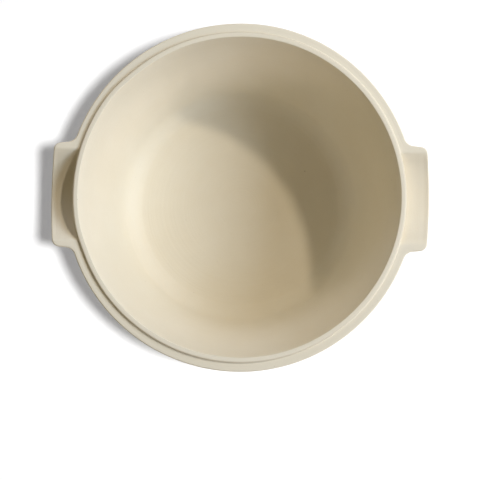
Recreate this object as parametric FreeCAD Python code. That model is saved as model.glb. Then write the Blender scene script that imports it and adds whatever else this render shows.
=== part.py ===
import FreeCAD, Part
import math
import os

# Bread cloche in stoneware: a deep pot with a stepped rim and two scooped lugs, standing in its upturned lid.
# Millimetres. Z is up, X runs through the lugs, and the origin is the middle of the face that the lid stands on.

# The pot's bowl
MOUTH_RADIUS = 121.0
WALL_LEAN = 28.0
BOWL_DEPTH = 108.0
INNER_TURN_RADIUS = 18.0
WALL = 9.5
POT_FLOOR = 9.0
OUTER_TURN_RADIUS = 28.0
NECK_ROOM = 10.0

# The pot's foot ring, set just inside the turn of the base
FOOT_SETBACK = 2.1
FOOT_WIDTH = 7.0
FOOT_HEIGHT = 3.0
FOOT_EDGE = 1.2

# The stepped rim: a low lip inside a ledge that carries the lid
LIP_THICKNESS = 4.0
LIP_HEIGHT = 2.4
LEDGE_WIDTH = 6.8
LEDGE_THICKNESS = 9.0

# The lugs, and the scoop by which the ledge dips into each of them
LUG_REACH = 12.7
LUG_LENGTH = 77.8
LUG_TAPER = 6.0
LUG_BOW = 4.2
LUG_CORNER = 5.5
LUG_ROOT_BLEND = 8.0
LUG_END_LAND = 4.5
SCOOP_DEPTH = 14.5
SCOOP_EDGE = 3.0
SCOOP_UNDER_BLEND = 8.0

# Edges and blends. Those at the lip are shares of its height, and those under the ledge are shares of its width
LIP_EDGE = 0.6 * LIP_HEIGHT
SEAT_BLEND = 0.3 * LIP_HEIGHT
SEAT_EDGE = 0.8
RIM_TOP_EDGE = 1.3
RIM_UNDER_EDGE = 0.4 * LEDGE_WIDTH
UNDER_RIM_BLEND = 0.45 * LEDGE_WIDTH

# The lid, which stands upturned as a plate
LID_HEIGHT = 26.0
LID_FLOOR = 8.0
LID_WALL = 8.0
LID_FLARE = 22.0
LID_OUTER_TURN_RADIUS = 14.0
LID_INNER_TURN_RADIUS = 10.0
LID_SHELF_WIDTH = 7.0
LID_SHELF_EDGE = 2.0
LID_RIM_THICKNESS = 9.0
LID_LUG_REACH = 8.0
LID_LUG_LENGTH = 62.0

# Clearances of the lid's seat on the pot
SEAT_SIDE_CLEARANCE = 0.8
SEAT_TOP_CLEARANCE = 1.2

# Levels and radii that follow from the sizes above
BASE_RADIUS = MOUTH_RADIUS - WALL_LEAN
LIP_OUTER_RADIUS = MOUTH_RADIUS + LIP_THICKNESS
RIM_RADIUS = LIP_OUTER_RADIUS + LEDGE_WIDTH
LID_STANDING_RADIUS = LIP_OUTER_RADIUS - LID_FLARE
SCOOP_LENGTH = LUG_LENGTH - 2 * LUG_END_LAND
POT_BOTTOM = LID_FLOOR
POT_FLOOR_TOP = POT_BOTTOM + FOOT_HEIGHT + POT_FLOOR
LIP_TOP = POT_FLOOR_TOP + BOWL_DEPTH
LEDGE_TOP = LIP_TOP - LIP_HEIGHT

# Allowances of the construction: how far drawn shapes run past the rim, how close an edge lies on a face, how
# much of the room beside a lug its root blend may fill, how much of the room under the ledge the neck's blend
# fills, and how many places of an edge are looked at
SPARE = 20.0
ON_FACE = 0.001
ROOT_SHARE = 0.9
NECK_SHARE = 0.9
EDGE_SAMPLES = 5


def point(radius, height):
    """A point of a half section, in the XZ plane."""
    return FreeCAD.Vector(radius, 0, height)


def rounded_outline(corners):
    """A closed wire through (point, radius) corners, with each corner rounded to its radius by a tangent arc."""
    starts = []
    ends = []
    middles = []
    for number, (corner, radius) in enumerate(corners):
        before = (corners[number - 1][0] - corner).normalize()
        after = (corners[(number + 1) % len(corners)][0] - corner).normalize()
        half_angle = before.getAngle(after) / 2
        reach = radius / math.tan(half_angle)
        starts.append(corner + before * reach)
        ends.append(corner + after * reach)
        inward = (before + after).normalize()
        middles.append(corner + inward * (radius / math.sin(half_angle) - radius))
    edges = []
    for number, (corner, radius) in enumerate(corners):
        if radius > 0:
            edges.append(Part.Arc(starts[number], middles[number], ends[number]).toShape())
        following = starts[(number + 1) % len(corners)]
        edges.append(Part.LineSegment(ends[number], following).toShape())
    return Part.Wire(edges)


def turned(corners):
    """The solid that a rounded half section makes when it is turned about Z."""
    face = Part.Face(rounded_outline(corners))
    return face.revolve(FreeCAD.Vector(0, 0, 0), FreeCAD.Vector(0, 0, 1), 360)


def arc_between(centre, radius, start_angle, end_angle):
    """An arc in the XY plane, given by its centre, its radius and two angles in radians."""
    def at(angle):
        return centre + FreeCAD.Vector(math.cos(angle), math.sin(angle), 0) * radius
    return Part.Arc(at(start_angle), at((start_angle + end_angle) / 2), at(end_angle)).toShape()


def rim_plan(lug_reach, lug_length):
    """The outline of a rim from above: a circle with a bowed, round-cornered lug at each end of X.

    A lug's length is that of its outer edge, and its sides spread from there by the taper. One lug and the rim
    arc that follows it are drawn, and turned half round for the other half. On a short lug the blend at its root
    is smaller, so that it ends before the corner's arc begins.
    """
    middle = FreeCAD.Vector(0, 0, 0)
    half = lug_length / 2
    taper = math.radians(LUG_TAPER)
    side_normal = FreeCAD.Vector(math.sin(taper), math.cos(taper), 0)
    side_outward = FreeCAD.Vector(math.cos(taper), -math.sin(taper), 0)
    bow_radius = (half ** 2 + LUG_BOW ** 2) / (2 * LUG_BOW)
    bow_centre = FreeCAD.Vector(RIM_RADIUS + lug_reach - bow_radius, 0, 0)
    tip = FreeCAD.Vector(RIM_RADIUS + lug_reach - LUG_BOW, half, 0)
    inset = tip - side_normal * LUG_CORNER - bow_centre
    along = inset.dot(side_outward)
    slide = math.sqrt(along ** 2 - inset.dot(inset) + (bow_radius - LUG_CORNER) ** 2) - along
    corner = bow_centre + inset + side_outward * slide
    bow_end = math.asin(corner.y / (bow_radius - LUG_CORNER))
    side_distance = tip.dot(side_normal)
    side_end = corner.dot(side_outward)
    root_limit = (side_end ** 2 + side_distance ** 2 - RIM_RADIUS ** 2) / (2 * (RIM_RADIUS - side_distance))
    root_blend = min(LUG_ROOT_BLEND, ROOT_SHARE * root_limit)
    root_distance = side_distance + root_blend
    side_start = math.sqrt((RIM_RADIUS + root_blend) ** 2 - root_distance ** 2)
    root = side_normal * root_distance + side_outward * side_start
    rim_start = math.atan2(root.y, root.x)
    bow = arc_between(bow_centre, bow_radius, -bow_end, bow_end)
    one_side = [
        arc_between(corner, LUG_CORNER, bow_end, math.pi / 2 - taper),
        Part.LineSegment(corner + side_normal * LUG_CORNER, root - side_normal * root_blend).toShape(),
        arc_between(root, root_blend, 1.5 * math.pi - taper, math.pi + rim_start),
    ]
    other_side = [edge.mirror(middle, FreeCAD.Vector(0, 1, 0)) for edge in one_side]
    rim = arc_between(middle, RIM_RADIUS, rim_start, math.pi - rim_start)
    half_plan = [bow] + one_side + other_side + [rim]
    other_half = [edge.rotated(middle, FreeCAD.Vector(0, 0, 1), 180) for edge in half_plan]
    return Part.Wire(Part.__sortEdges__(half_plan + other_half))


def rim_block(plan, bottom, top):
    """A rim's plan, raised straight from one level to another."""
    face = Part.Face(plan)
    face.translate(FreeCAD.Vector(0, 0, bottom))
    return face.extrude(FreeCAD.Vector(0, 0, top - bottom))


def dipping_edges(level, radius, centre_height, blend):
    """One face line of the ledge across the lugs, in the YZ plane: level, then dipping along an arc, then level.

    The arc stands about a centre above the ledge, and a tangent arc of its own eases each end into the level.
    """
    ease_height = level - blend
    ease_y = math.sqrt((radius + blend) ** 2 - (centre_height - ease_height) ** 2)
    toward_ease = FreeCAD.Vector(0, ease_y, ease_height - centre_height).normalize()
    centre = FreeCAD.Vector(0, 0, centre_height)
    meeting = centre + toward_ease * radius
    ease_centre = FreeCAD.Vector(0, ease_y, ease_height)
    ease_top = FreeCAD.Vector(0, ease_y, level)
    ease_middle = ease_centre + (ease_top - toward_ease * blend - ease_centre).normalize() * blend
    far = FreeCAD.Vector(0, RIM_RADIUS + SPARE, level)
    right = [
        Part.Arc(meeting, ease_middle, ease_top).toShape(),
        Part.LineSegment(ease_top, far).toShape(),
    ]
    left = [edge.mirror(FreeCAD.Vector(0, 0, 0), FreeCAD.Vector(0, 1, 0)) for edge in right]
    lowest = FreeCAD.Vector(0, 0, centre_height - radius)
    mirrored = FreeCAD.Vector(0, -meeting.y, meeting.z)
    return left + [Part.Arc(mirrored, lowest, meeting).toShape()] + right


def along_lugs(shape):
    """A shape of the YZ plane, drawn out along X past both lugs."""
    length = RIM_RADIUS + LUG_REACH + SPARE
    placed = shape.copy()
    placed.translate(FreeCAD.Vector(-length, 0, 0))
    return placed.extrude(FreeCAD.Vector(2 * length, 0, 0))


def ledge_lines():
    """The upper and the lower line of the ledge, a thickness apart, with the dip that forms the scoops."""
    half = SCOOP_LENGTH / 2
    scoop_radius = (half ** 2 + SCOOP_DEPTH ** 2) / (2 * SCOOP_DEPTH)
    centre_height = LEDGE_TOP - SCOOP_DEPTH + scoop_radius
    under_level = LEDGE_TOP - LEDGE_THICKNESS
    upper = dipping_edges(LEDGE_TOP, scoop_radius, centre_height, SCOOP_EDGE)
    lower = dipping_edges(under_level, scoop_radius + LEDGE_THICKNESS, centre_height, SCOOP_UNDER_BLEND)
    return upper, lower


def edges_on_both(solid, first, second):
    """The edges of a solid that lie all along on two given surfaces."""
    found = []
    for edge in solid.Edges:
        samples = [Part.Vertex(place) for place in edge.discretize(EDGE_SAMPLES)]
        if all(max(s.distToShape(first)[0], s.distToShape(second)[0]) < ON_FACE for s in samples):
            found.append(edge)
    return found


def tube(radius, bottom, top):
    """The round wall of an upright cylinder, without its ends."""
    circle = Part.makeCircle(radius, FreeCAD.Vector(0, 0, bottom))
    return circle.extrude(FreeCAD.Vector(0, 0, top - bottom))


def level_face(height):
    """A level disc that reaches past the rim and its lugs."""
    circle = Part.makeCircle(RIM_RADIUS + LUG_REACH + SPARE, FreeCAD.Vector(0, 0, height))
    return Part.Face(Part.Wire(circle))


def pot():
    lean = WALL_LEAN / BOWL_DEPTH
    foot_top = POT_BOTTOM + FOOT_HEIGHT
    outer_base = BASE_RADIUS + WALL * math.sqrt(1 + lean ** 2) - lean * POT_FLOOR
    lug_underside = LEDGE_TOP - SCOOP_DEPTH - LEDGE_THICKNESS
    neck_height = lug_underside - UNDER_RIM_BLEND - NECK_ROOM
    wall_angle = math.atan2(neck_height - foot_top, LIP_OUTER_RADIUS - outer_base)
    neck_blend = NECK_SHARE * NECK_ROOM / math.tan((math.pi / 2 - wall_angle) / 2)
    foot_outer = outer_base - OUTER_TURN_RADIUS * math.tan(wall_angle / 2) - FOOT_SETBACK
    foot_inner = foot_outer - FOOT_WIDTH
    bowl = turned([
        (point(0, foot_top), 0),
        (point(foot_inner, foot_top), FOOT_EDGE),
        (point(foot_inner, POT_BOTTOM), FOOT_EDGE),
        (point(foot_outer, POT_BOTTOM), FOOT_EDGE),
        (point(foot_outer, foot_top), FOOT_EDGE),
        (point(outer_base, foot_top), OUTER_TURN_RADIUS),
        (point(LIP_OUTER_RADIUS, neck_height), neck_blend),
        (point(LIP_OUTER_RADIUS, LIP_TOP), LIP_EDGE),
        (point(MOUTH_RADIUS, LIP_TOP), LIP_EDGE),
        (point(BASE_RADIUS, POT_FLOOR_TOP), INNER_TURN_RADIUS),
        (point(0, POT_FLOOR_TOP), 0),
    ])
    plan = rim_plan(LUG_REACH, LUG_LENGTH)
    upper, lower = ledge_lines()
    far = RIM_RADIUS + SPARE
    sides = []
    for y in (-far, far):
        top = FreeCAD.Vector(0, y, LEDGE_TOP)
        bottom = FreeCAD.Vector(0, y, LEDGE_TOP - LEDGE_THICKNESS)
        sides.append(Part.LineSegment(top, bottom).toShape())
    band = along_lugs(Part.Face(Part.Wire(Part.__sortEdges__(upper + lower + sides))))
    core = Part.makeCylinder(LIP_OUTER_RADIUS - LIP_THICKNESS / 2, LIP_TOP)
    ledge = band.common(rim_block(plan, POT_BOTTOM, LIP_TOP)).cut(core)
    solid = bowl.fuse(ledge).removeSplitter().Solids[0]
    top_face = along_lugs(Part.Wire(Part.__sortEdges__(upper)))
    under_face = along_lugs(Part.Wire(Part.__sortEdges__(lower)))
    outside = plan.extrude(FreeCAD.Vector(0, 0, LIP_TOP))
    wall_face = bowl.Shells[0]
    solid = solid.makeFillet(UNDER_RIM_BLEND, edges_on_both(solid, under_face, wall_face))
    solid = solid.makeFillet(SEAT_BLEND, edges_on_both(solid, top_face, wall_face))
    solid = solid.makeFillet(RIM_TOP_EDGE, edges_on_both(solid, top_face, outside))
    return solid.makeFillet(RIM_UNDER_EDGE, edges_on_both(solid, under_face, outside)).Solids[0]


def baking_lid():
    seat_radius = LIP_OUTER_RADIUS + SEAT_SIDE_CLEARANCE
    shelf = LID_HEIGHT - LIP_HEIGHT - SEAT_TOP_CLEARANCE
    rim_bottom = LID_HEIGHT - LID_RIM_THICKNESS
    shelf_inner = seat_radius - LID_SHELF_WIDTH
    dish = turned([
        (point(0, 0), 0),
        (point(LID_STANDING_RADIUS, 0), LID_OUTER_TURN_RADIUS),
        (point(LIP_OUTER_RADIUS, rim_bottom), 0),
        (point(LIP_OUTER_RADIUS, shelf), 0),
        (point(shelf_inner, shelf), LID_SHELF_EDGE),
        (point(LID_STANDING_RADIUS - LID_WALL, LID_FLOOR), LID_INNER_TURN_RADIUS),
        (point(0, LID_FLOOR), 0),
    ])
    plan = rim_plan(LID_LUG_REACH, LID_LUG_LENGTH)
    rim = rim_block(plan, rim_bottom, LID_HEIGHT)
    core = Part.makeCylinder(shelf_inner + LID_SHELF_EDGE, LID_HEIGHT)
    seat = Part.makeCylinder(seat_radius, LID_HEIGHT, FreeCAD.Vector(0, 0, shelf))
    solid = dish.fuse(rim.cut(core)).cut(seat).removeSplitter().Solids[0]
    top_face = level_face(LID_HEIGHT)
    under_face = level_face(rim_bottom)
    seat_wall = tube(seat_radius, shelf, LID_HEIGHT)
    outside = plan.extrude(FreeCAD.Vector(0, 0, LID_HEIGHT))
    solid = solid.makeFillet(UNDER_RIM_BLEND, edges_on_both(solid, under_face, dish.Shells[0]))
    solid = solid.makeFillet(SEAT_BLEND, edges_on_both(solid, level_face(shelf), seat_wall))
    solid = solid.makeFillet(SEAT_EDGE, edges_on_both(solid, top_face, seat_wall))
    solid = solid.makeFillet(RIM_TOP_EDGE, edges_on_both(solid, top_face, outside))
    return solid.makeFillet(RIM_UNDER_EDGE, edges_on_both(solid, under_face, outside)).Solids[0]


os.makedirs("parts", exist_ok=True)
for name, shape in (("pot", pot()), ("baking_lid", baking_lid())):
    print(name, shape.ShapeType, "valid" if shape.isValid() else "not valid", round(shape.Volume / 1000), "cm3")
    shape.exportStep("parts/" + name + ".step")
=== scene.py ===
# %% [markdown]
# # A stoneware bread cloche
#
# A bread cloche is a covered clay oven for one loaf. This one has a deep pot with a stepped rim and two scooped lugs.
# Its shallow lid lies upturned underneath, where it serves as the plate that the pot stands in.
#
# The imported CAD model gives the frame: metres, Z up, X through the lugs, and the middle of the lid's standing face at
# the origin. The first step loads it and keeps its parts, whose boxes are printed further on.

# %% Load the frame
import math

import bpy
import numpy as np
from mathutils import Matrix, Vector


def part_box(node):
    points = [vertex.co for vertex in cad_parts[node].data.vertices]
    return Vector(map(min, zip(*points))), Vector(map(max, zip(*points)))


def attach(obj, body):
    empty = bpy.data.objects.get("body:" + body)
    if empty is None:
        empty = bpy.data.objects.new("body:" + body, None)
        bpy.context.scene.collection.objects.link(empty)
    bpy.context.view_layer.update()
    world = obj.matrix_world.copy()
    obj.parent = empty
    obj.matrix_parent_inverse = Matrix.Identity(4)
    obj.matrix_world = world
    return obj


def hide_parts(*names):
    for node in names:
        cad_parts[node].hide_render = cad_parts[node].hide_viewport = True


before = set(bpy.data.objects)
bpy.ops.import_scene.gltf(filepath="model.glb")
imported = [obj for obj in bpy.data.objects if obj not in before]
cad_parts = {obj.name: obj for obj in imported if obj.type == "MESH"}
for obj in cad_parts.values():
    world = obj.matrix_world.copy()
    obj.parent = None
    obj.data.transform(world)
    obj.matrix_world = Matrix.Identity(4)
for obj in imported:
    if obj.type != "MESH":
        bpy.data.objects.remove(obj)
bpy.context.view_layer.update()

# %% [markdown]
# ## The rim seen from above
#
# Both pieces have the same kind of rim: a circle with a lug at each end of X. A lug has a slightly bowed outer edge,
# round corners, straight sides that spread a little towards the circle, and a hollow blend where they meet it. One
# quarter of that outline is made from five short runs, and the other three quarters are its mirror images.
#
# The side of a lug is a straight line with a known normal. The corner's arc touches that line and the bow, and the
# root's arc touches the line and the circle, so both centres follow from distances along and across the line.
#
# Every point also gets the outline's outward normal. A rounded edge that is stepped inwards along these normals keeps
# its true radius round the corners of a lug, which a step along the radius would not.

# %% The outline
MM = 0.001
RIM_RADIUS = 131.8
LUG_TAPER = math.radians(6)
LUG_BOW = 4.2
LUG_CORNER = 5.5
LUG_ROOT_BLEND = 8.0
ROOT_SHARE = 0.9
BOW_POINTS, CORNER_POINTS, SIDE_POINTS, ROOT_POINTS, CIRCLE_POINTS = 26, 9, 8, 10, 46


def arc_run(centre, radius, start, end, count, side=1.0):
    """Points of an arc, without its last: centre + radius * (cos, sin). The normals are side * (cos, sin)."""
    angle = np.linspace(start, end, count, endpoint=False)
    ray = np.stack([np.cos(angle), np.sin(angle)], axis=1)
    return np.array(centre) + radius * ray, side * ray


def rim_outline(reach, length):
    """The closed outline of a rim and its outward normals, anticlockwise from the middle of the right lug, in mm."""
    half = length / 2
    normal = np.array([math.sin(LUG_TAPER), math.cos(LUG_TAPER)])
    outward = np.array([math.cos(LUG_TAPER), -math.sin(LUG_TAPER)])
    bow_radius = (half ** 2 + LUG_BOW ** 2) / (2 * LUG_BOW)
    bow_centre = np.array([RIM_RADIUS + reach - bow_radius, 0])
    tip = np.array([RIM_RADIUS + reach - LUG_BOW, half])
    inset = tip - LUG_CORNER * normal - bow_centre
    slide = math.sqrt((inset @ outward) ** 2 - inset @ inset + (bow_radius - LUG_CORNER) ** 2) - inset @ outward
    corner = bow_centre + inset + slide * outward
    bow_end = math.asin(corner[1] / (bow_radius - LUG_CORNER))
    across, ahead = tip @ normal, corner @ outward
    room = (ahead ** 2 + across ** 2 - RIM_RADIUS ** 2) / (2 * (RIM_RADIUS - across))
    blend = min(LUG_ROOT_BLEND, ROOT_SHARE * room)
    root_ahead = math.sqrt((RIM_RADIUS + blend) ** 2 - (across + blend) ** 2)
    root = (across + blend) * normal + root_ahead * outward
    circle_start = math.atan2(root[1], root[0])
    side = across * normal + np.linspace(ahead, root_ahead, SIDE_POINTS, endpoint=False)[:, None] * outward
    runs = [
        arc_run(bow_centre, bow_radius, 0, bow_end, BOW_POINTS),
        arc_run(corner, LUG_CORNER, bow_end, math.pi / 2 - LUG_TAPER, CORNER_POINTS),
        (side, np.tile(normal, (SIDE_POINTS, 1))),
        arc_run(root, blend, -math.pi / 2 - LUG_TAPER, circle_start - math.pi, ROOT_POINTS, side=-1.0),
        arc_run((0, 0), RIM_RADIUS, circle_start, math.pi / 2, CIRCLE_POINTS),
        (np.array([[0.0, RIM_RADIUS]]), np.array([[0.0, 1.0]])),
    ]
    points = np.concatenate([run[0] for run in runs])
    normals = np.concatenate([run[1] for run in runs])
    flip = np.array([-1.0, 1.0])
    points = np.concatenate([points, points[-2:0:-1] * flip])
    normals = np.concatenate([normals, normals[-2:0:-1] * flip])
    return np.concatenate([points, -points]), np.concatenate([normals, -normals])


POT_LUG_REACH, POT_LUG_LENGTH = 12.7, 77.8
LID_LUG_REACH, LID_LUG_LENGTH = 8.0, 62.0
pot_outline = rim_outline(POT_LUG_REACH, POT_LUG_LENGTH)
lid_outline = rim_outline(LID_LUG_REACH, LID_LUG_LENGTH)
print("outline points:", len(pot_outline[0]), "pot reach in X:", round(pot_outline[0][:, 0].max(), 2), "mm")

# %% [markdown]
# ## Half sections
#
# A potter would turn the round parts against a template. Here the template is a half section: corners of radius and
# height, each rounded by an arc that is tangent to both its sides. Long straight runs get points in between, so that
# the surface has even faces.

# %% Half sections
ARC_STEP = math.radians(9)
LONGEST_STEP = 9.0


def half_section(corners):
    """Points (radius, height) along rounded corners (radius, height, rounding): each arc is tangent to its sides."""
    places = np.array([corner[:2] for corner in corners], float)
    runs = [places[:1]]
    for before, (x, z, rounding), after in zip(places, corners[1:], places[2:]):
        corner = np.array([x, z])
        back = (before - corner) / np.linalg.norm(before - corner)
        ahead = (after - corner) / np.linalg.norm(after - corner)
        half_angle = math.acos(np.clip(back @ ahead, -1, 1)) / 2
        middle = (back + ahead) / np.linalg.norm(back + ahead)
        centre = corner + middle * rounding / math.sin(half_angle)
        sweep = math.pi - 2 * half_angle
        across = (ahead - back) / np.linalg.norm(ahead - back)
        steps = np.linspace(-sweep / 2, sweep / 2, max(3, round(sweep / ARC_STEP) + 1))[:, None]
        runs.append(centre + rounding * (np.sin(steps) * across - np.cos(steps) * middle))
    runs.append(places[-1:])
    points = np.concatenate(runs)
    gaps = np.linalg.norm(np.diff(points, axis=0), axis=1)
    parts = np.maximum(1, np.ceil(gaps / LONGEST_STEP)).astype(int)
    position = np.concatenate([[0.0], np.cumsum(np.repeat(1 / parts, parts))])
    index = np.arange(len(points))
    return np.stack([np.interp(position, index, points[:, 0]), np.interp(position, index, points[:, 1])], axis=1)


def turned_rows(section, angle):
    """Rows of a turned surface: (radius * cos, radius * sin, height) for every section point and every angle."""
    radius, height = section[:, :1], section[:, 1:]
    level = np.broadcast_to(height, (len(section), len(angle)))
    return np.stack([radius * np.cos(angle), radius * np.sin(angle), level], axis=2)


# %% [markdown]
# ## From rows to a closed mesh
#
# Each piece is one sheet of rows that starts under its middle, runs outwards and up the outside, goes over the rim,
# and comes back down the inside to the middle. The rows close round the axis, and a single point closes the sheet at
# each end, so the result is a watertight skin with its faces outwards.
#
# Three values are kept with each vertex. The first is the distance along the section, which the turning marks follow.
# The second says where the clay has no glaze, because ware is fired standing on such a face. On the pot it also
# darkens the side of the lip towards clay, a painted shade that tones down how bright that lit face looks. The third
# marks the rim's top, which is painted paler, partly as wear from hands and the lid and partly as a painted highlight.
#
# Ware shaped by hand is never quite true. Slow waves move the skin by a fraction of a millimetre, and over the left lug
# the pot's lip leans out by about one. A wave is a count round the axis, a phase and a size.

# %% Out of true
WOBBLE = 0.16
SWELL_WAVES = ((2, 0.6, 1.0), (5, 2.1, 0.5))
LIFT_WAVES = ((3, 1.2, 0.5), (7, 0.0, 0.2))
STIFF_WITHIN = 100
LIP_LEAN = 1.1
LEAN_FROM, LEAN_TO = math.radians(130), math.radians(202)
LEAN_COMES, LEAN_GOES = 0.25, 0.22
LEAN_FOOT, LEAN_FOOT_FADE = 118, 8
LEAN_INNER, LEAN_INNER_FADE = 112, 6
LEAN_OUTER, LEAN_OUTER_FADE = 127, 2


def ramp(amount, width):
    """A rise from 0 to 1 while an amount grows from nothing to a width."""
    return np.clip(amount / width, 0, 1)


def waves(angle, parts):
    """The sum of waves round the axis, each with its count, phase and size."""
    return sum(size * np.sin(count * angle + phase) for count, phase, size in parts)


def lip_lean(angle, radius, height):
    """How far the pot's lip leans out over the left lug, in mm: none beyond the lug, below the lip or on the ledge."""
    turn = np.mod(angle, 2 * math.pi)
    along = ramp(turn - LEAN_FROM, LEAN_COMES) * ramp(LEAN_TO - turn, LEAN_GOES)
    across = ramp(radius - LEAN_INNER, LEAN_INNER_FADE) * ramp(LEAN_OUTER - radius, LEAN_OUTER_FADE)
    up = ramp(height - LEAN_FOOT, LEAN_FOOT_FADE) * across
    return LIP_LEAN * along ** 2 * (3 - 2 * along) * up


def out_of_true(points):
    """Points of a piece moved out of true: slow waves round the axis, none at the standing face, and the lip's lean."""
    angle = np.arctan2(points[..., 1], points[..., 0])
    radius = np.hypot(points[..., 0], points[..., 1])
    height = points[..., 2]
    wobble = WOBBLE * ramp(height, STIFF_WITHIN) * ramp(radius, STIFF_WITHIN)
    swell = wobble * waves(angle, SWELL_WAVES) + lip_lean(angle, radius, height)
    lift = wobble * waves(angle, LIFT_WAVES)
    outward = np.stack([np.cos(angle), np.sin(angle), np.zeros_like(angle)], axis=-1)
    upward = np.array([0.0, 0.0, 1.0])
    return points + swell[..., None] * outward + lift[..., None] * upward


# %% Rows to mesh


def skin(name, rows, bare_and_shade, wear_and_highlight):
    """A closed mesh from rows (row, column, xyz) in mm, with a pole point at each end, and its values (row, column)."""
    count, around = rows.shape[:2]
    first_pole = rows[0].mean(axis=0) * [0, 0, 1]
    last_pole = rows[-1].mean(axis=0) * [0, 0, 1]
    points = np.concatenate([out_of_true(rows).reshape(-1, 3), [first_pole], [last_pole]])
    here = np.arange(around)
    ahead = np.roll(here, -1)
    start = np.arange(count - 1)[:, None] * around
    quads = np.stack([start + here, start + ahead, start + around + ahead, start + around + here], axis=2)
    pole = count * around
    end = (count - 1) * around
    under = np.stack([np.full(around, pole), ahead, here], axis=1)
    over = np.stack([end + here, end + ahead, np.full(around, pole + 1)], axis=1)
    mesh = bpy.data.meshes.new(name)
    faces = quads.reshape(-1, 4).tolist() + under.tolist() + over.tolist()
    mesh.from_pydata((points * MM).tolist(), [], faces)
    mesh.shade_smooth()
    run = np.linalg.norm(np.diff(rows, axis=0), axis=2).mean(axis=1)
    along = np.repeat(np.concatenate([[0.0], np.cumsum(run)])[:, None], around, axis=1)
    # The second value also carries painted shade on the pot's lip side, the third a painted highlight on the rim's top.
    for label, values in (("along", along), ("bare_and_shade", bare_and_shade), ("wear_and_highlight", wear_and_highlight)):
        spread = np.concatenate([values.ravel(), values[0, :1], values[-1, :1]])
        attribute = mesh.attributes.new(label, "FLOAT", "POINT")
        attribute.data.foreach_set("value", spread.astype(np.float32))
    mesh.validate()
    piece = bpy.data.objects.new(name, mesh)
    bpy.context.scene.collection.objects.link(piece)
    print(name, "rows", count, "around", around, "faces", len(mesh.polygons))
    return piece


# %% [markdown]
# ## The pot
#
# The pot's rim is stepped. A thin lip stands inside a lower ledge, and on both lugs the ledge dips into a scoop that
# leaves room for the fingers under the lid. The scoop is an arc across the lug, so its depth is a function of Y alone.
# The ledge's upper and lower faces follow two such arcs about one centre, which keeps the clay equally thick.
#
# Near the outer edge of a scoop the clay turns up a little, as a thumb leaves it. That rise is a function of the
# distance from the outline.

# %% The dip of the ledge
LEDGE_TOP = 125.6
LEDGE_THICKNESS = 9.0
SCOOP_DEPTH = 14.5
SCOOP_HALF = 34.4
SCOOP_RADIUS = (SCOOP_HALF ** 2 + SCOOP_DEPTH ** 2) / (2 * SCOOP_DEPTH)
SCOOP_CENTRE = LEDGE_TOP - SCOOP_DEPTH + SCOOP_RADIUS
UPPER_EASE, LOWER_EASE = 3.0, 8.0
UPPER = (LEDGE_TOP, SCOOP_RADIUS, UPPER_EASE)
LOWER = (LEDGE_TOP - LEDGE_THICKNESS, SCOOP_RADIUS + LEDGE_THICKNESS, LOWER_EASE)
EDGE_RISE = 0.55
EDGE_RISE_WIDTH = 4.0
EDGE_RISE_DEPTH = 4


def ledge_height(y, line):
    """Height of a face of the ledge at y: an arc in the middle, an easing arc at its ends, and level beyond."""
    level, radius, ease = line
    ease_y = math.sqrt((radius + ease) ** 2 - (SCOOP_CENTRE - level + ease) ** 2)
    meet_y = ease_y * radius / (radius + ease)
    across = np.abs(y)
    dip = SCOOP_CENTRE - np.sqrt(np.maximum(radius ** 2 - across ** 2, 0))
    eased = level - ease + np.sqrt(np.maximum(ease ** 2 - (ease_y - across) ** 2, 0))
    return np.select([across < meet_y, across < ease_y], [dip, eased], level)


def scoop_rise(y, inset):
    """How much the scoop turns up at a distance from the outline: a parabola that ends within the lug."""
    depth = ramp(LEDGE_TOP - ledge_height(y, UPPER), EDGE_RISE_DEPTH)
    return EDGE_RISE * depth * (1 - ramp(inset, EDGE_RISE_WIDTH)) ** 2


# %% [markdown]
# The rows of a rim are laid from its underside outwards and back: the lower edge, the outer face, the upper edge and
# the top, as far as the seat. Where a row lies on the rounded outer edge it steps in along the outline's normals.
# Elsewhere it lies on rays from the axis.

# %% The rows of a rim
UNDER_EDGE = 2.72
TOP_EDGE = 1.3
EDGE_ROWS = 9
TOP_ROWS = 12


def rim_rows(outline, lower, upper, under_radius, seat_radius):
    """Rows (row, column, xyz) from under a rim, round its outer edge, to its seat, and the angle of each column."""
    points, normals = outline
    inner = points - UNDER_EDGE * normals
    angle = np.arctan2(inner[:, 1], inner[:, 0])
    ray = np.stack([np.cos(angle), np.sin(angle)], axis=1)
    quarter = np.linspace(0, math.pi / 2, EDGE_ROWS)[:, None, None]
    share = np.linspace(0, 1, TOP_ROWS)[:, None, None]
    underside = (1 - share[1:-1:2]) * under_radius * ray + share[1:-1:2] * inner
    lower_edge = points - UNDER_EDGE * (1 - np.sin(quarter)) * normals
    lower_rise = UNDER_EDGE * (1 - np.cos(quarter[..., 0]))
    face = np.repeat(points[None], 2, axis=0)
    face_share = np.array([[1 / 3], [2 / 3]])
    face_low = lower(points) + UNDER_EDGE
    face_high = upper(points, 0.0) - TOP_EDGE
    inset = TOP_EDGE * (1 - np.cos(quarter))
    upper_edge = points - inset * normals
    upper_drop = TOP_EDGE * (1 - np.sin(quarter[..., 0]))
    edge = upper_edge[-1]
    top = (1 - share[1:]) * edge + share[1:] * seat_radius * ray
    place = np.concatenate([underside, lower_edge, face, upper_edge, top])
    height = np.concatenate([
        lower(underside),
        lower(lower_edge) + lower_rise,
        (1 - face_share) * face_low + face_share * face_high,
        upper(upper_edge, inset[..., 0]) - upper_drop,
        upper(top, TOP_EDGE + np.linalg.norm(top - edge, axis=2))])
    return np.concatenate([place, height[..., None]], axis=2), angle


# %% [markdown]
# The pot's blends follow the dip of the ledge: one hollow arc under it, against the wall, and a small one on top of it,
# against the lip. The wall, the foot, the lip and the inside are turned. The lip's outer edge is eased for the lid, and
# its inner one is crisper.

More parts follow.
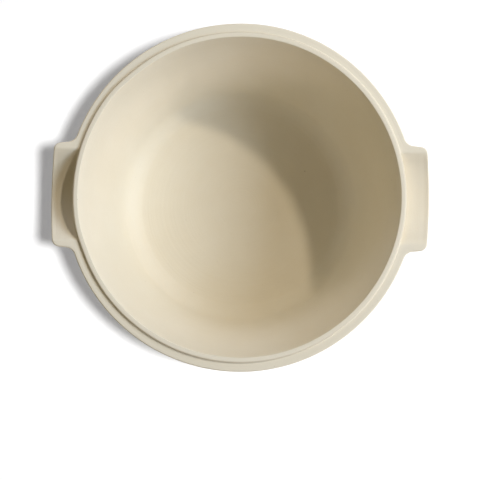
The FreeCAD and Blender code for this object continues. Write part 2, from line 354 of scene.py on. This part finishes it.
# %% The rows of the pot
POLE_RADIUS = 8
LIP_OUTER = 125.0
LIP_TOP = 128.0
LIP_SIDE = 1.5
LIP_EDGE = 1.44
MOUTH = 121.0
MOUTH_EDGE = 0.7
UNDER_BLEND = 3.06
SEAT_BLEND = 0.72
FOOT_INNER, FOOT_OUTER, FOOT_EDGE = 70.83, 77.83, 1.2
FOOT_BOTTOM, BASE_BOTTOM = 8, 11
WALL_FOOT, WALL_FOOT_TURN = 100.48, 28.0
NECK_HEIGHT, NECK_TURN, NECK_TOP = 89.04, 58.6, 98.5
FLOOR_RADIUS, FLOOR_HEIGHT, FLOOR_TURN = 93, 20, 18.0
BLEND_ROWS = 8
LIP_ROWS = 5


def pot_rows():
    """All rows of the pot, from under its middle over the rim to the middle of its floor."""
    rim, angle = rim_rows(
        pot_outline,
        lambda place: ledge_height(place[..., 1], LOWER),
        lambda place, inset: ledge_height(place[..., 1], UPPER) + scoop_rise(place[..., 1], inset),
        LIP_OUTER + UNDER_BLEND, LIP_OUTER + SEAT_BLEND)
    outside = half_section([
        (POLE_RADIUS, BASE_BOTTOM, 0), (FOOT_INNER, BASE_BOTTOM, FOOT_EDGE), (FOOT_INNER, FOOT_BOTTOM, FOOT_EDGE),
        (FOOT_OUTER, FOOT_BOTTOM, FOOT_EDGE), (FOOT_OUTER, BASE_BOTTOM, FOOT_EDGE),
        (WALL_FOOT, BASE_BOTTOM, WALL_FOOT_TURN), (LIP_OUTER, NECK_HEIGHT, NECK_TURN), (LIP_OUTER, NECK_TOP, 0)])
    inside = half_section([
        (LIP_OUTER, LIP_TOP - LIP_SIDE, 0), (LIP_OUTER, LIP_TOP, LIP_EDGE), (MOUTH, LIP_TOP, MOUTH_EDGE),
        (FLOOR_RADIUS, FLOOR_HEIGHT, FLOOR_TURN), (POLE_RADIUS, FLOOR_HEIGHT, 0)])
    quarter = np.linspace(0, math.pi / 2, BLEND_ROWS)[:, None]

    def follow(radius, line, rise):
        y = radius * np.sin(angle)
        return np.stack([radius * np.cos(angle), y, ledge_height(y, line) + rise], axis=2)

    under = follow(LIP_OUTER + UNDER_BLEND * (1 - np.cos(quarter)), LOWER, UNDER_BLEND * (np.sin(quarter) - 1))
    seat = follow(LIP_OUTER + SEAT_BLEND * (1 - np.sin(quarter)), UPPER, SEAT_BLEND * (1 - np.cos(quarter)))[1:]
    share = np.linspace(0, 1, LIP_ROWS)[1:-1, None, None]
    lip = (1 - share) * seat[-1:] + share * turned_rows(inside[:1], angle)
    return np.concatenate([turned_rows(outside, angle), under, rim, seat, lip, turned_rows(inside, angle)])


# %% [markdown]
# The pot is unglazed under its foot ring. The side and the outer edge of its lip are painted darker towards clay, a
# painted shade that tones down how bright that lit face looks. The ledge and the top of the lip are painted paler,
# partly as wear and partly as a painted highlight.

# %% The pot's skin
# Painted shade: the side of the lip is darkened towards clay, so that its lit face looks less bright.
LIP_PAINTED_SHADE = 0.4
LIP_SHADE_REACH, LIP_SHADE_FADE, LIP_SHADE_RISE = 1.3, 0.8, 0.5
BARE_BELOW, BARE_FADE = 9.0, 0.8
# The rim's top is painted paler, partly as wear and partly as a painted highlight.
RIM_TOP_FROM, RIM_TOP_FROM_FADE = 120.0, 2
RIM_TOP_ABOVE, RIM_TOP_ABOVE_FADE = 121.0, 3

pot_surface = pot_rows()
pot_height = pot_surface[..., 2]
pot_reach = np.hypot(pot_surface[..., 0], pot_surface[..., 1])
above_ledge = pot_height - ledge_height(pot_surface[..., 1], UPPER)
# Painted shade on the side of the lip, kept in one value with the unglazed foot.
lip_side_shade = ramp(LIP_SHADE_REACH - np.abs(pot_reach - LIP_OUTER), LIP_SHADE_FADE) * ramp(above_ledge, LIP_SHADE_RISE)
pot_bare_and_shade = np.maximum(ramp(BARE_BELOW - pot_height, BARE_FADE), LIP_PAINTED_SHADE * lip_side_shade)
# Paler rim top: partly wear, partly a painted highlight.
pot_wear_and_highlight = ramp(pot_reach - RIM_TOP_FROM, RIM_TOP_FROM_FADE) * ramp(pot_height - RIM_TOP_ABOVE, RIM_TOP_ABOVE_FADE)
pot = skin("stoneware_pot", pot_surface, pot_bare_and_shade, pot_wear_and_highlight)

# %% [markdown]
# ## The lid
#
# The lid is a shallow dish with the same rim, upside down. Inside the rim a round seat takes the pot's lip when the
# cloche is closed, and a shelf stops it. The rim's own face is bare clay, because the lid is fired standing on it.

# %% The rows of the lid
LID_HEIGHT = 26.0
LID_RIM_THICKNESS = 9.0
LID_SEAT = 125.8
SEAT_EDGE, SEAT_EDGE_SHARE = 0.8, 0.98
SHELF_HEIGHT, SHELF_WIDTH, SHELF_EDGE = 22.4, 7.0, 2.0
LID_BASE_RADIUS, LID_BASE_TURN = 103.0, 14.0
LID_FLOOR_RADIUS, LID_FLOOR_HEIGHT, LID_FLOOR_TURN = 95.0, 8, 10.0
LID_BARE_ABOVE, LID_BARE_FADE = 25.4, 0.5
LID_WORN_FROM, LID_WORN_FADE = 118.0, 4


def lid_rows():
    """All rows of the lid, from under its middle over the rim to the middle of its floor."""
    under = LID_HEIGHT - LID_RIM_THICKNESS
    rim, angle = rim_rows(
        lid_outline,
        lambda place: np.full(place.shape[:-1], under),
        lambda place, inset: np.full(place.shape[:-1], LID_HEIGHT),
        LIP_OUTER + UNDER_BLEND, LID_SEAT + SEAT_EDGE)
    outside = half_section([
        (POLE_RADIUS, 0, 0), (LID_BASE_RADIUS, 0, LID_BASE_TURN), (LIP_OUTER, under, UNDER_BLEND),
        (LIP_OUTER + UNDER_BLEND, under, 0)])
    inside = half_section([
        (LID_SEAT + SEAT_EDGE, LID_HEIGHT, 0), (LID_SEAT, LID_HEIGHT, SEAT_EDGE * SEAT_EDGE_SHARE),
        (LID_SEAT, SHELF_HEIGHT, SEAT_BLEND), (LID_SEAT - SHELF_WIDTH, SHELF_HEIGHT, SHELF_EDGE),
        (LID_FLOOR_RADIUS, LID_FLOOR_HEIGHT, LID_FLOOR_TURN), (POLE_RADIUS, LID_FLOOR_HEIGHT, 0)])
    return np.concatenate([turned_rows(outside, angle), rim, turned_rows(inside[1:], angle)])


lid_surface = lid_rows()
lid_reach = np.hypot(lid_surface[..., 0], lid_surface[..., 1])
lid_bare = ramp(lid_surface[..., 2] - LID_BARE_ABOVE, LID_BARE_FADE)
lid_worn = ramp(lid_reach - LID_WORN_FROM, LID_WORN_FADE)
lid = skin("stoneware_lid", lid_surface, lid_bare, lid_worn)

# %% [markdown]
# ## Riding on the frame
#
# Each new skin stands for one CAD node and moves with that node's body. The lid is the root, and the pot lifts off it.

# %% Bodies
for piece, node in ((pot, "pot"), (lid, "baking_lid")):
    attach(piece, node)
    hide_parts(node)
    low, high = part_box(node)
    print(node, "CAD box", [round(v * 1000, 1) for v in (*low, *high)])

# %% [markdown]
# ## The glaze
#
# The glaze is a cream matte. Close up it isn't one colour: it clouds slowly, a fine grain from the clay shows through,
# a few iron specks and pinholes lie on it, and the turning of the mould leaves faint rings. Those marks are node
# groups, because both finishes use them with their own strengths. All of them read Object coordinates or the piece's
# own values.

# %% Helpers for nodes


def add_node(tree, kind, **values):
    """A node of a kind, with its properties set by name and its input sockets by their labels in a dict."""
    node = tree.nodes.new(kind)
    sockets = values.pop("sockets", {})
    for label, value in values.items():
        setattr(node, label, value)
    for label, value in sockets.items():
        node.inputs[label].default_value = value
    return node


def marks_group(name, inputs, outputs):
    """An empty shader node group with float inputs {label: value} and float outputs, and its two end nodes."""
    tree = bpy.data.node_groups.new(name, "ShaderNodeTree")
    for label, value in inputs.items():
        socket = tree.interface.new_socket(label, in_out="INPUT", socket_type="NodeSocketFloat")
        socket.default_value = value
    for label in outputs:
        tree.interface.new_socket(label, in_out="OUTPUT", socket_type="NodeSocketFloat")
    return tree, tree.nodes.new("NodeGroupInput"), tree.nodes.new("NodeGroupOutput")


def mix_colours(tree, factor, first, second):
    """A colour mix by a factor socket; either end is a socket or a plain colour."""
    node = add_node(tree, "ShaderNodeMix", data_type="RGBA")
    tree.links.new(factor, node.inputs["Factor"])
    for label, end in (("A", first), ("B", second)):
        socket = next(s for s in node.inputs if s.name == label and s.type == "RGBA")
        if isinstance(end, tuple):
            socket.default_value = end
        else:
            tree.links.new(end, socket)
    return next(s for s in node.outputs if s.type == "RGBA")


def calculate(tree, operation, first, second):
    """One math step between two values, each a socket or a number."""
    node = add_node(tree, "ShaderNodeMath", operation=operation)
    for place, end in enumerate((first, second)):
        if isinstance(end, (int, float)):
            node.inputs[place].default_value = end
        else:
            tree.links.new(end, node.inputs[place])
    return node.outputs[0]


# %% [markdown]
# Specks come from a Voronoi texture: a spot lies at each cell's centre, and a random value per cell drops most of
# them and sizes the rest. A second, denser layer gives the pinholes.

# %% Specks and pinholes
speck_tree, speck_in, speck_out = marks_group(
    "iron_specks", {"Cells per metre": 120.0, "Size": 0.12, "Share": 0.2}, ["Mask"])
coordinates = add_node(speck_tree, "ShaderNodeTexCoord")
cells = add_node(speck_tree, "ShaderNodeTexVoronoi", voronoi_dimensions="3D", feature="F1")
chance = add_node(speck_tree, "ShaderNodeSeparateColor")
spot = add_node(speck_tree, "ShaderNodeMapRange", interpolation_type="SMOOTHSTEP",
                sockets={"From Min": 0.0, "To Min": 1.0, "To Max": 0.0})
kept = calculate(speck_tree, "LESS_THAN", chance.outputs["Red"], speck_in.outputs["Share"])
size = calculate(speck_tree, "MULTIPLY", chance.outputs["Green"], speck_in.outputs["Size"])
mask = calculate(speck_tree, "MULTIPLY", spot.outputs["Result"], kept)
for start, end in (
        (coordinates.outputs["Object"], cells.inputs["Vector"]),
        (speck_in.outputs["Cells per metre"], cells.inputs["Scale"]),
        (cells.outputs["Color"], chance.inputs["Color"]),
        (cells.outputs["Distance"], spot.inputs["Value"]),
        (size, spot.inputs["From Max"]),
        (mask, speck_out.inputs["Mask"])):
    speck_tree.links.new(start, end)
print("group", speck_tree.name, "nodes", len(speck_tree.nodes))

# %% [markdown]
# Clouds are two sizes of noise: a slow one for the thickness of the glaze, and a fine one for the grain of the clay.
# Turning rings are noise along the section's length only, so they run round the axis on wall, rim and floor alike.

# %% Clouds, grain and turning rings
cloud_tree, cloud_in, cloud_out = marks_group(
    "glaze_clouds", {"Cloud size": 14.0, "Grain size": 900.0, "Ring size": 0.45}, ["Cloud", "Grain", "Rings"])
coordinates = add_node(cloud_tree, "ShaderNodeTexCoord")
cloud = add_node(cloud_tree, "ShaderNodeTexNoise", sockets={"Detail": 4.0, "Roughness": 0.55})
grain = add_node(cloud_tree, "ShaderNodeTexNoise", sockets={"Detail": 2.0, "Roughness": 0.6})
along = add_node(cloud_tree, "ShaderNodeAttribute", attribute_name="along")
ring = add_node(cloud_tree, "ShaderNodeTexNoise", noise_dimensions="1D", sockets={"Detail": 3.0, "Roughness": 0.6})
for start, end in (
        (coordinates.outputs["Object"], cloud.inputs["Vector"]),
        (cloud_in.outputs["Cloud size"], cloud.inputs["Scale"]),
        (coordinates.outputs["Object"], grain.inputs["Vector"]),
        (cloud_in.outputs["Grain size"], grain.inputs["Scale"]),
        (along.outputs["Fac"], ring.inputs["W"]),
        (cloud_in.outputs["Ring size"], ring.inputs["Scale"]),
        (cloud.outputs["Fac"], cloud_out.inputs["Cloud"]),
        (grain.outputs["Fac"], cloud_out.inputs["Grain"]),
        (ring.outputs["Fac"], cloud_out.inputs["Rings"])):
    cloud_tree.links.new(start, end)
print("group", cloud_tree.name, "nodes", len(cloud_tree.nodes))

# %% [markdown]
# The finish mixes these marks. Clouds and grain move the cream a little lighter and darker, and the rim's top is
# painted paler, partly as wear and partly as a painted highlight. Specks and pinholes darken it, and the pinholes most
# on the rim's top. Unglazed clay is a warmer, rougher buff, and on the side of the pot's lip that buff is a painted
# shade. The grain, the rings and the pinholes are also a fine relief, in millimetres.

# %% The finish
CREAM_THIN = (0.83, 0.753, 0.60, 1.0)
CREAM_THICK = (0.88, 0.82, 0.69, 1.0)
# Paler cream for the rim's top, partly wear and partly a painted highlight.
CREAM_WORN_AND_LIT = (0.92, 0.86, 0.72, 1.0)
IRON = (0.24, 0.15, 0.085, 1.0)
# Unglazed clay, also the colour of the painted shade on the side of the pot's lip.
CLAY_AND_SHADE = (0.60, 0.50, 0.365, 1.0)
CLOUD_SHARE, GRAIN_SHARE, RING_SHARE = 0.72, 0.18, 0.10
WEAR_AND_HIGHLIGHT = 0.7
PIT_DARK, PIT_DARK_RIM_TOP = 0.16, 0.4
SPECK_DARK = 0.6
BARE_AND_SHADE_SHARE = 0.85
LEAST_ROUGH, CLOUD_ROUGH, BARE_ROUGH = 0.44, 0.22, 0.25
SHEEN = 0.16
GRAIN_HEIGHT, PIT_DEPTH = 0.05, 0.08
RELIEF = 0.6


def glaze(name, speck_share, ring_height):
    """A cream matte glaze over clay, with its own share of specks and depth of turning rings."""
    material = bpy.data.materials.new(name)
    material.use_nodes = True
    tree = material.node_tree
    surface = tree.nodes["Principled BSDF"]
    surface.inputs["Specular IOR Level"].default_value = SHEEN
    clouds = add_node(tree, "ShaderNodeGroup", node_tree=cloud_tree).outputs
    specks = add_node(tree, "ShaderNodeGroup", node_tree=speck_tree,
                      sockets={"Cells per metre": 130.0, "Size": 0.10, "Share": speck_share}).outputs["Mask"]
    pits = add_node(tree, "ShaderNodeGroup", node_tree=speck_tree,
                    sockets={"Cells per metre": 260.0, "Size": 0.16, "Share": 0.25}).outputs["Mask"]
    bare_and_shade = add_node(tree, "ShaderNodeAttribute", attribute_name="bare_and_shade").outputs["Fac"]
    wear_and_highlight = add_node(tree, "ShaderNodeAttribute", attribute_name="wear_and_highlight").outputs["Fac"]

    def times(first, second):
        return calculate(tree, "MULTIPLY", first, second)

    def plus(first, second):
        return calculate(tree, "ADD", first, second)

    tone = add_node(tree, "ShaderNodeMapRange", sockets={"From Min": 0.3, "From Max": 0.7})
    soft = plus(times(clouds["Cloud"], CLOUD_SHARE), times(clouds["Grain"], GRAIN_SHARE))
    tree.links.new(plus(soft, times(clouds["Rings"], RING_SHARE)), tone.inputs["Value"])
    colour = mix_colours(tree, tone.outputs["Result"], CREAM_THIN, CREAM_THICK)
    # Paler on the rim's top: partly wear, partly a painted highlight.
    colour = mix_colours(tree, times(wear_and_highlight, WEAR_AND_HIGHLIGHT), colour, CREAM_WORN_AND_LIT)
    colour = mix_colours(tree, times(pits, plus(times(wear_and_highlight, PIT_DARK_RIM_TOP), PIT_DARK)), colour, IRON)
    colour = mix_colours(tree, times(specks, SPECK_DARK), colour, IRON)
    # Unglazed clay, and a painted shade on the side of the pot's lip.
    colour = mix_colours(tree, times(bare_and_shade, BARE_AND_SHADE_SHARE), colour, CLAY_AND_SHADE)
    tree.links.new(colour, surface.inputs["Base Color"])
    rough = plus(plus(times(clouds["Cloud"], CLOUD_ROUGH), LEAST_ROUGH), times(bare_and_shade, BARE_ROUGH))
    tree.links.new(rough, surface.inputs["Roughness"])
    relief = plus(times(clouds["Rings"], ring_height), times(clouds["Grain"], GRAIN_HEIGHT))
    relief = calculate(tree, "SUBTRACT", relief, times(pits, PIT_DEPTH))
    bump = add_node(tree, "ShaderNodeBump", sockets={"Strength": RELIEF, "Distance": MM})
    tree.links.new(relief, bump.inputs["Height"])
    tree.links.new(bump.outputs["Normal"], surface.inputs["Normal"])
    print("finish", name, "nodes", len(tree.nodes))
    return material


pot.data.materials.append(glaze("cream_glaze", speck_share=0.10, ring_height=0.16))
lid.data.materials.append(glaze("plate_glaze", speck_share=0.16, ring_height=0.10))

# %% [markdown]
# ## Floor and light
#
# The cloche is seen on plain white. The floor is a pale matte sheet that catches the shadow. A camera-only glow takes
# its lit part to white, and rises with the distance, so that the floor stays white as far as it goes. Near the pot it
# is faintly blue, which keeps the shadow grey under the warm fill. The glow puts no light on the pot.

# %% Floor
FLOOR_SIZE = 6.0
FLOOR_PAINT = (0.86, 0.86, 0.86, 1.0)
WHITE = (1.0, 1.0, 1.0, 1.0)
NEAR_GLOW = 0.2
NEAR_TINT = (0.93, 1.0, 1.18, 1.0)
GLOW_FROM, GLOW_TO = 0.35, 1.5


def seen_rays(tree):
    """A socket that is 1 for the rays that show a thing to the camera, straight or by way of a gloss, and else 0."""
    path = add_node(tree, "ShaderNodeLightPath").outputs
    seen = calculate(tree, "MAXIMUM", path["Is Camera Ray"], path["Is Glossy Ray"])
    return calculate(tree, "MAXIMUM", seen, path["Is Transmission Ray"])


corners = np.array([[-1, -1, 0], [1, -1, 0], [1, 1, 0], [-1, 1, 0]], float) * FLOOR_SIZE / 2
floor_mesh = bpy.data.meshes.new("floor")
floor_mesh.from_pydata(corners.tolist(), [], [[0, 1, 2, 3]])
floor = bpy.data.objects.new("floor", floor_mesh)
bpy.context.scene.collection.objects.link(floor)

floor_paint = bpy.data.materials.new("floor_paint")
floor_paint.use_nodes = True
tree = floor_paint.node_tree
tree.nodes.remove(tree.nodes["Principled BSDF"])
matte = add_node(tree, "ShaderNodeBsdfDiffuse", sockets={"Color": FLOOR_PAINT})
glow = add_node(tree, "ShaderNodeEmission")
both = add_node(tree, "ShaderNodeAddShader")
place = add_node(tree, "ShaderNodeTexCoord")
reach = add_node(tree, "ShaderNodeVectorMath", operation="LENGTH")
far = add_node(tree, "ShaderNodeMapRange", sockets={"From Min": GLOW_FROM, "From Max": GLOW_TO})
strength = calculate(tree, "MULTIPLY", far.outputs["Result"], 1 - NEAR_GLOW)
strength = calculate(tree, "MULTIPLY", seen_rays(tree), calculate(tree, "ADD", strength, NEAR_GLOW))
for start, end in (
        (place.outputs["Object"], reach.inputs[0]),
        (reach.outputs["Value"], far.inputs["Value"]),
        (mix_colours(tree, far.outputs["Result"], NEAR_TINT, WHITE), glow.inputs["Color"]),
        (strength, glow.inputs["Strength"]),
        (matte.outputs[0], both.inputs[0]),
        (glow.outputs[0], both.inputs[1]),
        (both.outputs[0], tree.nodes["Material Output"].inputs["Surface"])):
    tree.links.new(start, end)
floor_mesh.materials.append(floor_paint)
print("floor", FLOOR_SIZE, "m across, glow", NEAR_GLOW, "near the pot")

# %% [markdown]
# The world is an even, warm fill that the camera sees as white.

# %% World
WORLD_LEVEL = 0.085
WORLD_TINT = (1.17, 1.0, 0.62, 1.0)
world = bpy.data.worlds.new("even_fill")
world.use_nodes = True
tree = world.node_tree
seen = seen_rays(tree)
level = add_node(tree, "ShaderNodeMapRange", sockets={"To Min": WORLD_LEVEL, "To Max": 1.0})
backdrop = tree.nodes["Background"].inputs
tree.links.new(seen, level.inputs["Value"])
tree.links.new(mix_colours(tree, seen, WORLD_TINT, WHITE), backdrop["Color"])
tree.links.new(level.outputs["Result"], backdrop["Strength"])
bpy.context.scene.world = world
print("world level", WORLD_LEVEL)

# %% [markdown]
# A stepped rim shows best in two lights from one side. A wide, soft and cool one stands low on the right, and the lip
# keeps it out of the far scoop and off a thin line of the ledge. A small, warm one stands higher and draws a crisp edge
# inside that half shadow. Three weak fills lift the walls that these leave dark.
#
# The floor has a lamp of its own, nearly overhead, so that the shadow stays close to the pot. Light linking gives each
# lamp a collection, and it lights only what is in there.

# %% Lamps
RIM_MIDDLE = (0.0, 0.0, 0.125)
FLOOR_LIGHT_PLACE, FLOOR_LIGHT_AIM = (0.225, -0.11, 1.5), (0.225, -0.11, 0.0)
FLOOR_LIGHT_SIZE, FLOOR_LIGHT_POWER = 0.125, 23.0
RIM_LIGHTS = (
    # name, azimuth, elevation, distance, width, height, power, colour
    ("low_light", -1, 38.8, 4.0, 5.0, 1.5, 114.0, (0.87, 1.0, 1.18)),
    ("high_light", 39, 50.5, 2.2, 0.16, 0.16, 11.5, (1.14, 1.0, 0.80)),
    ("left_fill", 175, 16, 2.4, 2.4, 0.8, 3.4, (1.22, 1.0, 0.58)),
    ("far_fill", 92, 19, 2.4, 2.0, 0.8, 9.0, (0.98, 1.0, 1.12)),
    ("near_fill", 305, 20, 2.4, 1.4, 0.7, 6.6, (1.24, 1.0, 0.78)),
)


def lit_by(name, *things):
    """A collection of what a lamp lights."""
    group = bpy.data.collections.new(name)
    for thing in things:
        group.objects.link(thing)
    return group


def lamp(name, place, aim, width, height, power, colour, lights):
    """An oval area lamp at a place, facing a point, in metres and watts, that lights only one collection."""
    data = bpy.data.lights.new(name, "AREA")
    data.shape = "ELLIPSE"
    data.size = width
    data.size_y = height
    data.energy = power
    data.color = colour
    thing = bpy.data.objects.new(name, data)
    thing.location = place
    thing.rotation_euler = (Vector(place) - Vector(aim)).to_track_quat("Z", "Y").to_euler()
    thing.light_linking.receiver_collection = lights
    bpy.context.scene.collection.objects.link(thing)
    print(name, "at", [round(v, 2) for v in place], power, "W")


def from_rim(azimuth, elevation, distance):
    """A place at an azimuth and elevation, in degrees, and a distance in metres from the middle of the rim."""
    turn, rise = math.radians(azimuth), math.radians(elevation)
    level = distance * math.cos(rise)
    return (level * math.cos(turn), level * math.sin(turn), RIM_MIDDLE[2] + distance * math.sin(rise))


ware = lit_by("ware", pot, lid)
ground = lit_by("ground", floor)
for name, azimuth, elevation, distance, width, height, power, colour in RIM_LIGHTS:
    lamp(name, from_rim(azimuth, elevation, distance), RIM_MIDDLE, width, height, power, colour, ware)
lamp("floor_light", FLOOR_LIGHT_PLACE, FLOOR_LIGHT_AIM, FLOOR_LIGHT_SIZE, FLOOR_LIGHT_SIZE, FLOOR_LIGHT_POWER,
     WHITE[:3], ground)

# %% [markdown]
# ## Camera
#
# The camera looks almost straight down from about 0.9 m above the rim. It stands a little towards the near side, so
# the floor of the pot shifts down the picture, and it is turned by less than a degree.

# %% Camera
CAMERA_PLACE = (0.0003, -0.072, 1.026)
CAMERA_TILT = 2.49
CAMERA_ROLL = 0.76
LENS, SENSOR_WIDTH = 89.9, 36.0
camera_data = bpy.data.cameras.new("camera")
camera_data.lens = LENS
camera_data.sensor_width = SENSOR_WIDTH
camera = bpy.data.objects.new("camera", camera_data)
camera.location = CAMERA_PLACE
camera.rotation_mode = "ZYX"
camera.rotation_euler = (math.radians(CAMERA_TILT), 0.0, math.radians(CAMERA_ROLL))
bpy.context.scene.collection.objects.link(camera)
bpy.context.scene.camera = camera
bpy.context.scene.view_settings.view_transform = "Standard"
print("camera at", CAMERA_PLACE)
